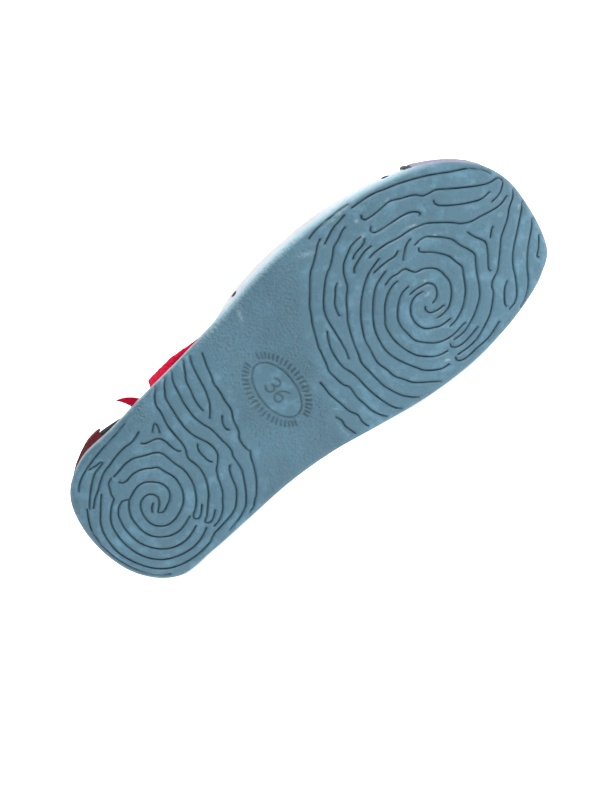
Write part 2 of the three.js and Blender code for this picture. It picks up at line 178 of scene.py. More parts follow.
BALL_GROOVES = [
    [(162.5, -38.8), (160.1, -37.4), (156.9, -34.8), (154, -32.6), (150, -29.9), (146.7, -26.2),
     (143.7, -22.5), (140.5, -18.7), (138.7, -15.5), (136.3, -11.5), (135.2, -9), (134, -6.3),
     (132.3, -2.5), (131.4, 1.4), (130.2, 5.9), (129.2, 9), (129.6, 13.5), (130.3, 17.6),
     (131.7, 20), (131.8, 22.2), (131.5, 26.3), (132.3, 30.5), (132.9, 34.6), (134.5, 38.4),
     (136.6, 41.5)],
    [(139.6, -5.4), (137.5, -1.8), (135.9, 2.4), (135.2, 6.9), (135.2, 11.8), (136.4, 15.2),
     (137.2, 19), (137.4, 23.2), (138, 28), (138.9, 32.6), (140.1, 36.7), (141.8, 40.5),
     (144, 43)],
    [(139.4, 10.2), (140.4, 7.6), (141.3, 3.1), (141.9, -1.1), (142.5, -5.9), (143.1, -9.7),
     (144.5, -13.6), (147.3, -17.3), (150.3, -20.5), (153.4, -23.5), (156.2, -25.5),
     (158.8, -26.8), (162.6, -29.8), (165, -32.1), (168.7, -33.5), (172.2, -35.3),
     (174.5, -35.8)],
    [(163, -35.9), (166, -37.2), (170, -38.8), (174.5, -39.6), (177.5, -40.2)],
    [(148.2, -7.2), (148.3, -8.6), (149.6, -12.1), (152.2, -15.2), (154.6, -17.9), (156.4, -19)],
    [(153, 43.8), (150.1, 41.2), (147.4, 37.8), (145.6, 33.9), (144.1, 29.8), (143.4, 24.9),
     (143, 20.1), (142.7, 15.2), (144.1, 11.1), (145.4, 6.6), (147.4, 1.4), (149.4, -2.8),
     (151.9, -6.3), (154.9, -10.7), (158.8, -14.8), (160.1, -17.7), (161.5, -20.9),
     (164.2, -23.9), (167.4, -25.8), (171, -27.6), (174, -28.2), (177, -28.2)],
    [(168.5, -22.9), (170, -23.8), (174.5, -24.7), (176.8, -25.4), (178, -26.6)],
    [(165.2, -17.8), (166.5, -19.4), (169.4, -20.6), (174.8, -22.2), (178.3, -22.2)],
    [(165, 44.4), (161.6, 41.9), (158, 39.3), (155, 36.7), (152.4, 32.6), (150.3, 29.1),
     (149.6, 24.9), (148.4, 20.8), (148.4, 18.3), (149.3, 13.5), (150.1, 9), (151.7, 5.2),
     (155.3, -0.9), (158, -4.2), (160.7, -7), (165.2, -10.6), (170, -13.5), (174.3, -14.8),
     (177.7, -15.6)],
    [(172, -12.2), (176, -12.5), (180, -12.4), (183.5, -12), (186.2, -13)],
    [(172.7, 40.9), (169.3, 40.4), (166.1, 38.8), (162.3, 35.7), (160.2, 32.4), (157.3, 27),
     (155.4, 22.5), (154.5, 17.6), (155, 13.1), (156.1, 8.6), (158.2, 4.5), (161.3, 0.3),
     (165.4, -4.2), (169.4, -7.3), (172.2, -8.4), (176.4, -9.5)],
    [(185.4, -8.3), (187.9, -10.6), (190.8, -12.7), (193.6, -13.6)],
    [(172.7, -4.9), (176.5, -5.7), (180, -5.2), (182.1, -5.2), (184, -4.6), (184.9, -2.8),
     (186.6, -0.7), (189.9, 0.3), (193.2, 2.4), (195.2, 5.2), (195.8, 8.6), (195.5, 12.8),
     (193.9, 15.9), (191.1, 18.9), (188.3, 20.8), (184.5, 21.6), (181.5, 21.3)],
    [(177.5, -2.8), (174.4, -2.5), (170.6, -0.9), (166.5, 2.4), (163.7, 5.9), (161.3, 9.3),
     (160.3, 15.6), (160.8, 20.1), (162.1, 24.6), (163.9, 28.4), (166.1, 30.8), (169.3, 33.6),
     (172.7, 35.2), (176, 35.8)],
    [(180, 2.2), (176.2, 2.7), (172.7, 4.7), (169.6, 7.6), (167.3, 10.7), (166.5, 14.5),
     (166.8, 18.7), (167.5, 22.7), (169.9, 25.8), (173.4, 29.1), (177.2, 31), (182.4, 31.8),
     (187.3, 31.2), (190, 31.1)],
    [(183.5, 8), (180, 7.6), (176.9, 8.6), (174.5, 10.7), (172.7, 14.2), (172.7, 18.3),
     (174.3, 21.5), (177.6, 23.7), (181, 25.1), (185.9, 25.3)],
    [(178.5, 5.4), (181.7, 5.3), (185.2, 5.9), (188, 6.7), (189.4, 9.3), (188.1, 12.8),
     (185.9, 14.4), (184, 14.8)],
    [(180.3, 13.9), (179.6, 15.2), (180.3, 17.3), (183.5, 18.6), (187.5, 18.8)],
    [(183.8, 27.9), (188.3, 27.2), (192.5, 25.3), (196.3, 22.5), (199.4, 19.2), (202.3, 14.2),
     (204.1, 10.7), (203.4, 7.2), (202.5, 3.4), (200.3, 0), (197.7, -3), (194.4, -5.6),
     (193.4, -6.9), (194.2, -8.2)],
    [(181.5, 33.8), (186.6, 33.9), (190.7, 32.7), (194.9, 31), (198.7, 28.7), (202.2, 26.1),
     (205, 22.2), (207.6, 17.4), (210, 13.6), (212.1, 10.2), (211.3, 6.6), (209.5, 2.7),
     (208.3, -1.4), (206, -4.5), (202.8, -7.5), (200, -9.8), (196.9, -10.5), (193.6, -10.3)],
    [(178.8, 34.2), (178.4, 35.3), (180.3, 37.1), (184.2, 37.6), (188.7, 37), (193.2, 36)],
    [(178.5, 40.1), (184, 40.5), (189, 40.1), (194.9, 38.1), (200.2, 35.7), (204.1, 32.8),
     (208.5, 28.4), (209, 26.7), (211.1, 24.5), (215.1, 22.9), (218.5, 20), (223.3, 15.4),
     (226.5, 12.2), (230.6, 9.8), (234.5, 7.5), (237.7, 4.8), (242.2, 2.2), (245, -0.6)],
    [(202, 40.5), (195, 42.8), (187.3, 43.3), (181, 43.6), (178, 43), (176.6, 41.6), (177, 40.2)],
    [(215.8, 0.5), (216.7, 3.5), (218.6, 6.9), (219.4, 9.2), (217.2, 13.6), (214.5, 17.1),
     (213, 19.5), (213.3, 20.5)],
    [(222.5, 9), (224.9, 7), (226.4, 6.1)],
    [(216.2, 28.8), (213.4, 30.7), (210.8, 33.6), (209, 36.3), (209, 37.3)],
    [(245, 6.4), (240.9, 9.8), (234.2, 14.9), (228.1, 19.5), (223.3, 24.6), (219.9, 30.9),
     (215.9, 36.5), (212.7, 38.6), (209.5, 39.2)],
    [(243.6, 15.2), (240.6, 18.1), (233.8, 23.5), (228.4, 29.1), (223.6, 35.7), (218.2, 40.3),
     (214, 42)],
    [(241.2, 22.8), (237.4, 27), (234.5, 29.3), (234.7, 30.2)],
    [(182, -40.5), (188, -40.1), (194, -39.2), (198, -37.8), (204.4, -35.8), (211.8, -32.8),
     (219.4, -29.1), (226.2, -25.1), (232.9, -21.6), (236.4, -19), (239.3, -15.8),
     (241.2, -12.2)],
    [(183.1, -35.3), (182.5, -34.2), (183.8, -32.6), (190.5, -32.1), (196.6, -32.2),
     (201.8, -29.9), (207.3, -27.4), (210, -24.7), (213.4, -23.7), (216.2, -23.1),
     (220.7, -20), (227.4, -15.5), (234.2, -11.4), (238.6, -9.6), (242.2, -9.1),
     (243.5, -6.8), (240.9, -4.3), (237.4, -2.9), (233, -2.7)],
    [(212.4, -20.2), (212, -18.6), (213.4, -16.5), (218.8, -12.5), (224.6, -9.1),
     (230.3, -6.7), (235, -6.6)],
    [(174.5, -18.6), (177.7, -19), (184.1, -18.6), (189.8, -17.4), (196.2, -16.7),
     (200, -15.7), (203.8, -14.2), (209.2, -10.4), (212.7, -7.5), (215.9, -4.3),
     (220.1, -2.1), (225.2, -1), (231, 0.3), (236, 0.8), (240.5, -0.2)],
    [(183.4, -28.9), (182.2, -27.4), (183.4, -25.7), (189.8, -24.6), (196.9, -23.8),
     (201.2, -22.6), (203.8, -20.6), (204, -19.4), (203.2, -18.8)],
    [(159, -42), (164, -43.1), (170, -43.4), (176, -43.5), (181.5, -43)],
    [(123, 10.5), (123.1, 14.5), (122.9, 17), (124.2, 23.9), (125, 28.7), (126.8, 32.5),
     (126.5, 36), (127.4, 39.5)],
    [(118.8, 27.2), (119.7, 29.8), (119.4, 33), (120.8, 38.4)],
]

# Pale marks on the tread, partly scuffs and partly painted glints where ridge ends catch the light:
# centre, half length along the shoe, half width, turn in degrees and strength
SCUFFS_AND_GLINTS = [
    (114.5, -35, 1.1, 4.2, 24, 0.5), (154, -37.4, 4.2, 1.2, 28, 0.5),
    (160, -38.6, 3, 0.9, 30, 0.35),
    (175, -42, 7, 0.7, -2, 0.6), (157, -18, 1.1, 0.9, 0, 0.5), (180, -35, 0.8, 0.8, 0, 0.9),
    (177.7, -27.9, 1.1, 0.8, 20, 0.8), (187.5, 4.8, 0.9, 0.5, 30, 0.8),
    (184.6, 10.2, 1.7, 0.7, -5, 0.7),
    (173.4, 38.9, 1.5, 0.6, 30, 0.8), (198, -17.6, 2.2, 0.5, 20, 0.8),
    (203.2, -8, 0.9, 0.5, 35, 0.7),
    (196.3, -33.5, 1.2, 0.5, -20, 0.6), (232.6, 4, 1, 0.8, 0, 0.5), (242, 7, 1.2, 0.9, 0, 0.5),
    (120.8, 24, 1.5, 0.5, 40, 0.35), (117.6, 33, 0.6, 4, -4, 0.3),
]

# Plain size figures, as strokes in shares of their height: across, up
DIGITS = {
    "3": [[(0.05, 0.86), (0.25, 0.98), (0.5, 0.92), (0.55, 0.72), (0.42, 0.56), (0.22, 0.52)],
          [(0.22, 0.52), (0.48, 0.46), (0.6, 0.26), (0.46, 0.05), (0.2, 0.01), (0, 0.14)]],
    "6": [[(0.52, 0.97), (0.25, 0.82), (0.06, 0.52), (0.03, 0.22), (0.2, 0.02), (0.45, 0.04),
           (0.58, 0.24), (0.5, 0.46), (0.28, 0.5), (0.08, 0.34)]],
}


class SoleSettings(bpy.types.PropertyGroup):
    """Sizes and colours of the rubber sole"""

    groove_depth: bpy.props.FloatProperty(
        name="Groove depth", description="How deep the tread's grooves are cut", default=0.8 * MM,
        unit="LENGTH")
    groove_width: bpy.props.FloatProperty(
        name="Groove width", description="Width of a groove at half its depth", default=0.56 * MM,
        unit="LENGTH")
    ridge_round: bpy.props.FloatProperty(
        name="Ridge rounding", description="How far the ridges fall off toward a groove",
        default=0.42 * MM, unit="LENGTH")
    rubber: bpy.props.FloatVectorProperty(
        name="Rubber", description="Colour of the sole", subtype="COLOR", size=3, min=0, max=1,
        default=(0.067, 0.15, 0.204))


class UpperSettings(bpy.types.PropertyGroup):
    """Sizes and colours of the felt and fleece pieces"""

    felt: bpy.props.FloatVectorProperty(
        name="Front felt", description="Colour of the upper's front", subtype="COLOR", size=3,
        min=0, max=1, default=(0.6, 0.63, 0.65))
    rear: bpy.props.FloatVectorProperty(
        name="Rear felt", description="Colour of the upper behind the side dips", subtype="COLOR",
        size=3, min=0, max=1, default=(0.012, 0.011, 0.013))
    fleece: bpy.props.FloatVectorProperty(
        name="Fleece", description="Colour of the cuff and the lining", subtype="COLOR", size=3,
        min=0, max=1, default=(0.62, 0.004, 0.04))
    # Heel felt: a dark red, made darker still as painted shade over the heel
    counter: bpy.props.FloatVectorProperty(
        name="Heel felt", description="Colour of the heel counter", subtype="COLOR", size=3,
        min=0, max=1, default=(0.1, 0.004, 0.01))
    toe: bpy.props.FloatVectorProperty(
        name="Toe felt", description="Colour of the toe cap", subtype="COLOR", size=3, min=0, max=1,
        default=(0.3, 0.27, 0.38))
    dot_size: bpy.props.FloatProperty(
        name="Dot size", description="Diameter of the dots on the upper", default=3.4 * MM,
        unit="LENGTH")


# Mesh helpers
def select_only(piece):
    bpy.ops.object.select_all(action="DESELECT")
    piece.hide_viewport = False
    piece.select_set(True)
    bpy.context.view_layer.objects.active = piece


def new_mesh_object(name, vertices, faces):
    mesh = bpy.data.meshes.new(name)
    mesh.from_pydata([tuple(v) for v in vertices], [], faces)
    mesh.validate()
    piece = bpy.data.objects.new(name, mesh)
    bpy.context.scene.collection.objects.link(piece)
    return piece


def edit(piece, *steps):
    """Runs mesh operators on the whole piece in edit mode."""
    select_only(piece)
    bpy.ops.object.mode_set(mode="EDIT")
    bpy.ops.mesh.select_all(action="SELECT")
    for step, options in steps:
        getattr(bpy.ops.mesh, step)(**options)
    bpy.ops.object.mode_set(mode="OBJECT")


def apply_modifier(piece, kind, **values):
    select_only(piece)
    modifier = piece.modifiers.new(kind.title(), kind)
    for key, value in values.items():
        setattr(modifier, key, value)
    bpy.ops.object.modifier_apply(modifier=modifier.name)


def move_vertices(piece, places):
    piece.data.vertices.foreach_set("co", np.asarray(places, np.float32).ravel())
    piece.data.update()


def normals_of(piece):
    flat = np.empty(len(piece.data.vertices) * 3, np.float32)
    piece.data.vertices.foreach_get("normal", flat)
    return flat.reshape(-1, 3).astype(float)


def set_attribute(piece, name, values):
    layer = piece.data.attributes.new(name, "FLOAT", "POINT")
    layer.data.foreach_set("value", np.asarray(values, np.float32))


def soft_copy(node, name, voxel, smoothing):
    """A copy of a node's solid with its loose triangles merged, rebuilt as an even soft mesh."""
    select_only(frame["nodes"][node])
    bpy.ops.object.duplicate()
    piece = bpy.context.active_object
    piece.name = piece.data.name = name
    for key in list(piece.keys()):
        del piece[key]
    piece.parent = None
    piece.data.materials.clear()
    edit(piece, ("remove_doubles", {"threshold": 1e-6}))
    apply_modifier(piece, "REMESH", mode="VOXEL", voxel_size=voxel * MM)
    apply_modifier(piece, "SMOOTH", factor=0.5, iterations=smoothing)
    return piece


def finish_piece(piece, material, slot, *nodes, smooth_angle=50):
    piece.data.materials.clear()
    piece.data.materials.append(material)
    select_only(piece)
    bpy.ops.object.shade_smooth_by_angle(angle=math.radians(smooth_angle))
    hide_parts(*nodes)
    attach(piece, "root")


def lumps(points, size, seed):
    """Soft noise from minus one to one at points in millimetres, made of turned waves."""
    rng = np.random.default_rng(seed)
    total = np.zeros(len(points))
    for _ in range(14):
        way = rng.normal(size=3)
        way *= rng.uniform(0.6, 1.6) / np.linalg.norm(way)
        total += np.sin(points @ way * (2 * math.pi / size) + rng.uniform(0, 2 * math.pi))
    return total / 4.5


# The sole's form
def hermite(knots, values, at):
    slopes = np.gradient(values, knots)
    slopes[1:-1] = (values[2:] - values[:-2]) / (knots[2:] - knots[:-2])
    low = np.clip(np.searchsorted(knots, at, side="right") - 1, 0, len(knots) - 2)
    span = knots[low + 1] - knots[low]
    u = (at - knots[low]) / span
    return (
        values[low] * (1 + 2 * u) * (1 - u) ** 2 + values[low + 1] * u * u * (3 - 2 * u)
        + slopes[low] * span * u * (1 - u) ** 2 - slopes[low + 1] * span * u * u * (1 - u)
    )


def half_width(turn, side):
    return hermite(OUTLINE_TURN, OUTLINE[:, 1 if side < 0 else 2], turn) * HALF_BALL


def outline_point(turn, side, inset):
    """Points of the sole's outline, moved in by a distance along its normal."""
    reach = 0.01
    ahead = np.minimum(turn + reach, math.pi)
    behind = np.maximum(turn - reach, 0)
    run = LENGTH * (np.cos(behind) - np.cos(ahead)) / 2
    swell = side * (half_width(ahead, side) - half_width(behind, side))
    stretch = np.hypot(run, swell)
    tip = (turn <= 0) | (turn >= math.pi)
    normal_x = np.where(tip, np.sign(turn - 1), -side * swell / stretch)
    normal_y = np.where(tip, 0, side * run / stretch)
    along = LENGTH * (1 - np.cos(turn)) / 2
    return along - inset * normal_x, side * half_width(turn, side) - inset * normal_y


def toe_lift(x):
    share = np.maximum(x / LENGTH - TOE_BREAK, 0) / (1 - TOE_BREAK)
    return TOE_SPRING * share**2


def ground_height(x):
    heel = np.maximum(1 - x / (LENGTH * HEEL_FLAT), 0)
    shank = np.clip((x / LENGTH - SHANK_FROM) / (SHANK_TO - SHANK_FROM), 0, 1)
    return toe_lift(x) + SHANK_RISE * np.sin(math.pi * shank) ** 2 + HEEL_SPRING * heel**2


def bed_height(x):
    blend = np.clip((x / LENGTH - THIN_FROM) / THIN_SPAN, 0, 1)
    fall = (1 - np.cos(math.pi * blend)) / 2
    return HEEL_THICK + (FORE_THICK - HEEL_THICK) * fall + toe_lift(x)


def smooth_line(knots, spacing=0.18):
    """Closely spaced points of a rounded line through given knots."""
    knots = np.array(knots, float)
    steps = np.concatenate([[0], np.cumsum(np.linalg.norm(np.diff(knots, axis=0), axis=1))])
    at = np.arange(0, steps[-1], spacing)
    if len(knots) < 3:
        return np.column_stack([np.interp(at, steps, knots[:, k]) for k in (0, 1)])
    return np.column_stack([hermite(steps, knots[:, k], at) for k in (0, 1)])


MEDAL = {"x": 106, "y": -0.5, "along": 8, "across": 14.3, "gap_in": 2.2, "gap_out": 4.4}
FIGURE_HEIGHT = 7.2
# The ring of ticks is open at its two narrow ends
TICK_GAP = 0.985


def medallion_lines():
    """The shank's oval, its size figures and a plain ring of short ticks."""
    turns = np.linspace(0, 2 * math.pi, 200)
    oval = [np.column_stack([MEDAL["x"] + MEDAL["along"] * np.cos(turns),
                             MEDAL["y"] + MEDAL["across"] * np.sin(turns)])]
    figures = []
    for digit, place in (("3", -4.9), ("6", 0.9)):
        for stroke in DIGITS[digit]:
            figures.append(smooth_line([
                (MEDAL["x"] - FIGURE_HEIGHT / 2 + up * FIGURE_HEIGHT,
                 MEDAL["y"] + place + across * FIGURE_HEIGHT)
                for across, up in stroke
            ]))
    ticks = []
    for turn in np.radians(np.arange(0, 360, 7.5)):
        if abs(math.sin(turn)) > TICK_GAP:
            continue
        ends = [(MEDAL["x"] + (MEDAL["along"] + gap) * math.cos(turn),
                 MEDAL["y"] + (MEDAL["across"] + gap) * math.sin(turn))
                for gap in (MEDAL["gap_in"], MEDAL["gap_out"])]
        ticks.append(smooth_line(ends))
    return oval, figures, ticks


def nearest_distance(lines, flat):
    points = np.concatenate(lines)
    tree = kdtree.KDTree(len(points))
    for spot, (x, y) in enumerate(points):
        tree.insert((x, y, 0), spot)
    tree.balance()
    return np.array([tree.find((x, y, 0))[2] for x, y in flat])


# Width of the groove's rounded section at half its depth, for a spread of one
HALF_DEPTH_WIDTH = 2 * math.sqrt(math.log(2))
RIDGE_REACH = 1.05
# Reach of the ridge crowns that get a painted highlight
CROWN_HIGHLIGHT_REACH = 0.9
CALM_REACH = 4.5


def carve(flat, settings):
    """How deep the tread is cut at flat points, and how dark the grooves are painted there, partly
    grime and partly painted shade.
    """
    grooves = [smooth_line(knots) - (0, CHART_MIDDLE) for knots in HEEL_GROOVES + BALL_GROOVES]
    oval, figures, ticks = medallion_lines()
    width = settings.groove_width / MM / HALF_DEPTH_WIDTH
    distance = nearest_distance(grooves, flat)
    groove = np.exp(-((distance / width) ** 2))
    depth = groove * settings.groove_depth / MM
    depth += settings.ridge_round / MM * np.exp(-((distance / RIDGE_REACH) ** 2))
    # The grooves' darkening: partly grime, partly painted shade in the recesses
    groove_dirt_and_shade = groove
    near = np.abs(flat[:, 0] - MEDAL["x"]) < 2 * MEDAL["along"]
    for lines, deep, wide in ((oval, 0.5, 0.42), (figures, 0.5, 0.45), (ticks, 0.5, 0.5)):
        mark = np.exp(-((nearest_distance(lines, flat[near]) / wide) ** 2))
        depth[near] += deep * mark
        groove_dirt_and_shade[near] = np.maximum(groove_dirt_and_shade[near], mark * deep * 1.6)
    return depth, groove_dirt_and_shade, distance


# Pale marks on the tread: partly scuffs, partly painted glints on ridge ends
def scuff_and_glint_spots(flat):
    total = np.zeros(len(flat))
    for x, y, long, wide, turn, strength in SCUFFS_AND_GLINTS:
        c, s = math.cos(math.radians(turn)), math.sin(math.radians(turn))
        dx, dy = flat[:, 0] - x, flat[:, 1] - y + CHART_MIDDLE
        along, across = (dx * c + dy * s) / long, (-dx * s + dy * c) / wide
        total = np.maximum(total, strength * np.exp(-(along**2 + across**2)))
    return total


# Stretches of the sole: first and last place along it, columns and rows of the tread's mesh
SOLE_PARTS = {
    "sole_heel": (0, 46, 260, 225),
    "sole_waist": (46, 92, 190, 225),
    "sole_shank": (92, 114, 60, 190),
    "sole_ball": (114, 181, 264, 270),
    "sole_toe": (181, None, 310, 250),
}
EDGE_ROWS = 8
BED_ROWS = 6

# Points closer than this, in metres, are one point
SEAM = 2e-6


def section_rows(bottom_rows):
    """Rows round a section: (kind, share) where the share runs along that stretch."""
    arc = [("arc", (k + 1) / EDGE_ROWS) for k in range(EDGE_ROWS)]
    wall = [("wall", 0.33), ("wall", 0.66), ("wall", 1), ("step", 0.5), ("step", 1), ("lip", 0.4),
            ("lip", 0.86), ("rim", 0.2), ("rim", 0.5), ("rim", 0.8), ("drop", 0.3), ("drop", 1)]
    side = arc + wall
    rows = [("bottom", k / bottom_rows, 0) for k in range(bottom_rows + 1)]
    rows += [(kind, share, 1) for kind, share in side]
    rows += [("bed", 1 - k / BED_ROWS, 0) for k in range(1, BED_ROWS)]
    rows += [(kind, share, -1) for kind, share in reversed(side)]
    return rows


RIM_ROUND = 0.5


def side_place(kind, share):
    """Inset, how the height is taken, and how much the tread's grooves still cut there."""
    if kind == "arc":
        turn = share * math.pi / 2
        fade = min(max((80 - math.degrees(turn)) / 35, 0), 1)
        rise = EDGE_ROUND * (1 - math.cos(turn))
        return EDGE_ROUND * (1 - math.sin(turn)), ("ground", rise), fade
    if kind == "wall":
        return 0, ("between", share), 0
    if kind == "step":
        return SIDE_STEP * share, ("bed", -STEP_DROP + SIDE_STEP * share), 0
    if kind == "lip":
        return SIDE_STEP, ("lip", share), 0
    if kind == "rim":
        across = SIDE_STEP + LIP_WIDTH * share
        crown = RIM_ROUND * (1 - (2 * share - 1) ** 2)
        return across, ("bed", LIP_HEIGHT - RIM_ROUND + crown), 0
    return SIDE_STEP + LIP_WIDTH, ("bed", (LIP_HEIGHT - RIM_ROUND) * (1 - share)), 0


def height_at(way, x):
    kind, value = way
    if kind == "ground":
        return ground_height(x) + value
    if kind == "between":
        low, high = ground_height(x) + EDGE_ROUND, bed_height(x) - STEP_DROP
        return low + (high - low) * value
    if kind == "lip":
        low, high = -STEP_DROP + SIDE_STEP, LIP_HEIGHT - RIM_ROUND
        return bed_height(x) + low + (high - low) * value
    return bed_height(x) + value


# Where the outer edge gets a painted highlight, standing in for the light on its rounded edge: from
# none to full and back, along the shoe
EDGE_HIGHLIGHT_RISE = (88, 113)
EDGE_HIGHLIGHT_FALL = (206, 228)


def painted_edge_highlight(x, share):
    """How strong the painted highlight on the outer edge is at places along it, strongest where it
    turns up.
    """
    rise = np.clip((x - EDGE_HIGHLIGHT_RISE[0]) / (EDGE_HIGHLIGHT_RISE[1] - EDGE_HIGHLIGHT_RISE[0]), 0, 1)
    fall = np.clip((EDGE_HIGHLIGHT_FALL[1] - x) / (EDGE_HIGHLIGHT_FALL[1] - EDGE_HIGHLIGHT_FALL[0]), 0, 1)
    return rise * fall * math.sin(share * math.pi / 2) ** 1.5


def sole_rows(rows, turns):
    """Points, way into the rubber, share of the tread's cuts and painted edge highlight, row by
    row.
    """
    edges = {side: outline_point(turns, side, EDGE_ROUND) for side in (-1, 1)}
    beds = {side: outline_point(turns, side, SIDE_STEP + LIP_WIDTH) for side in (-1, 1)}
    places = np.zeros((len(rows), len(turns), 3))
    inward = np.zeros_like(places)
    cut = np.zeros(places.shape[:2])
    pale = np.zeros_like(cut)
    for row, (kind, share, side) in enumerate(rows):
        if kind in ("bottom", "bed"):
            sides = edges if kind == "bottom" else beds
            low, high = sides[-1], sides[1]
            x = low[0] + (high[0] - low[0]) * share
            y = low[1] + (high[1] - low[1]) * share
            z = ground_height(x) if kind == "bottom" else bed_height(x)
            inward[row, :, 2] = 1
            cut[row] = 1 if kind == "bottom" else 0
        else:
            inset, way, fade = side_place(kind, share)
            x, y = outline_point(turns, side, inset)
            z = height_at(way, x)
            lean = share * math.pi / 2 if kind == "arc" else 0
            inner = outline_point(turns, side, inset + 1)
            inward[row, :, 0] = (inner[0] - x) * math.sin(lean)
            inward[row, :, 1] = (inner[1] - y) * math.sin(lean)
            inward[row, :, 2] = math.cos(lean)
            cut[row] = fade
            # Painted highlight on the outer edge's rounded arc
            if side < 0 and kind == "arc":
                pale[row] = painted_edge_highlight(x, share)
        places[row] = np.column_stack([x, y, z])
    return places, inward, cut, pale


def sole_part(name, start, end, columns, bottom_rows, settings):
    """One stretch of the sole, wrapped round its whole section and closed at both ends."""
    ends = [math.acos(1 - 2 * x / LENGTH) for x in (start, LENGTH if end is None else end)]
    rows = section_rows(bottom_rows)
    count = len(rows)
    places, inward, cut, pale = sole_rows(rows, np.linspace(*ends, columns))
    flat = places[..., :2]
    depth, groove_dirt_and_shade, calm, crown = (np.zeros_like(cut) for _ in range(4))
    treaded = cut[:, 0] > 0
    cuts, darks, distance = carve(flat[treaded].reshape(-1, 2), settings)
    depth[treaded] = cuts.reshape(-1, columns) * cut[treaded]
    groove_dirt_and_shade[treaded] = darks.reshape(-1, columns) * cut[treaded]
    calm[treaded] = np.exp(-((distance / CALM_REACH) ** 4)).reshape(-1, columns)
    oval = ((flat[..., 0] - MEDAL["x"]) / MEDAL["along"]) ** 2
    oval += ((flat[..., 1] - MEDAL["y"]) / MEDAL["across"]) ** 2
    calm[(oval < 1) & (cut > 0)] = 1
    # Ridge crowns away from the grooves, kept for a painted highlight in the colour
    crown[treaded] = (1 - np.exp(-((distance / CROWN_HIGHLIGHT_REACH) ** 2))).reshape(-1, columns)
    crown *= calm
    scuff_and_glint_share = scuff_and_glint_spots(flat.reshape(-1, 2)) * (cut.ravel() > 0)
    points = (places + inward * depth[..., None]).reshape(-1, 3)
    across = np.arange(count)
    a = (across[:, None] * columns + np.arange(columns - 1)[None]).ravel()
    b = (((across + 1) % count)[:, None] * columns + np.arange(columns - 1)[None]).ravel()
    faces = np.column_stack([a, b, b + 1, a + 1]).tolist()
    if start > 0:
        faces.append([row * columns for row in range(count)][::-1])
    if end is not None:
        faces.append([row * columns + columns - 1 for row in range(count)])
    piece = new_mesh_object(name, to_row(points), faces)
    for attribute, values in (("groove", groove_dirt_and_shade), ("calm", calm), ("crown", crown),
                              ("painted_edge_highlight", pale), ("scuff_and_glint", scuff_and_glint_share)):
        set_attribute(piece, attribute, values.ravel())
    edit(piece, ("remove_doubles", {"threshold": SEAM}),
         ("normals_make_consistent", {"inside": False}))
    return piece


# Materials
class Nodes:
    """Short calls for a material's node tree."""

    def __init__(self, name, **shader_values):
        self.material = bpy.data.materials.new(name)
        self.material.use_nodes = True
        self.tree = self.material.node_tree
        self.shader = self.tree.nodes["Principled BSDF"]
        for socket, value in shader_values.items():
            self.shader.inputs[socket.replace("_", " ")].default_value = value
        self.place = self.add("ShaderNodeTexCoord").outputs["Object"]

    def add(self, kind, inputs=(), **settings):
        node = self.tree.nodes.new(kind)
        for key, value in settings.items():
            setattr(node, key, value)
        for key, value in dict(inputs).items():
            if isinstance(value, bpy.types.NodeSocket):
                self.tree.links.new(value, node.inputs[key])
            else:
                node.inputs[key].default_value = value
        return node

    def noise(self, per_metre, detail=3, rough=0.55, place=None):
        return self.add("ShaderNodeTexNoise", {
            "Vector": place or self.place, "Scale": per_metre, "Detail": detail, "Roughness": rough,
        }).outputs["Fac"]

    def attribute(self, name):
        return self.add("ShaderNodeAttribute", attribute_name=name).outputs["Fac"]

    def math(self, operation, a, b=0.0, c=0.0):
        return self.add("ShaderNodeMath", {0: a, 1: b, 2: c}, operation=operation).outputs[0]

    def span(self, value, low, high, to_low=0.0, to_high=1.0):
        return self.add("ShaderNodeMapRange", {
            "Value": value, "From Min": low, "From Max": high, "To Min": to_low, "To Max": to_high,
        }).outputs["Result"]

    def mix(self, share, a, b):
        node = self.add("ShaderNodeMix", {0: share}, data_type="RGBA")
        for key, value in ((6, a), (7, b)):
            if isinstance(value, bpy.types.NodeSocket):
                self.tree.links.new(value, node.inputs[key])
            else:
                node.inputs[key].default_value = (*value, 1)
        return node.outputs[2]

    def bump(self, height, distance, strength=1.0, under=None):
        inputs = {"Height": height, "Distance": distance * MM, "Strength": strength}
        if under is not None:
            inputs["Normal"] = under
        return self.add("ShaderNodeBump", inputs).outputs["Normal"]

    def wire(self, **sockets):
        for socket, source in sockets.items():
            self.tree.links.new(source, self.shader.inputs[socket.replace("_", " ")])
        return self.material


def tint(colour, factor):
    return tuple(min(channel * factor, 1) for channel in colour)


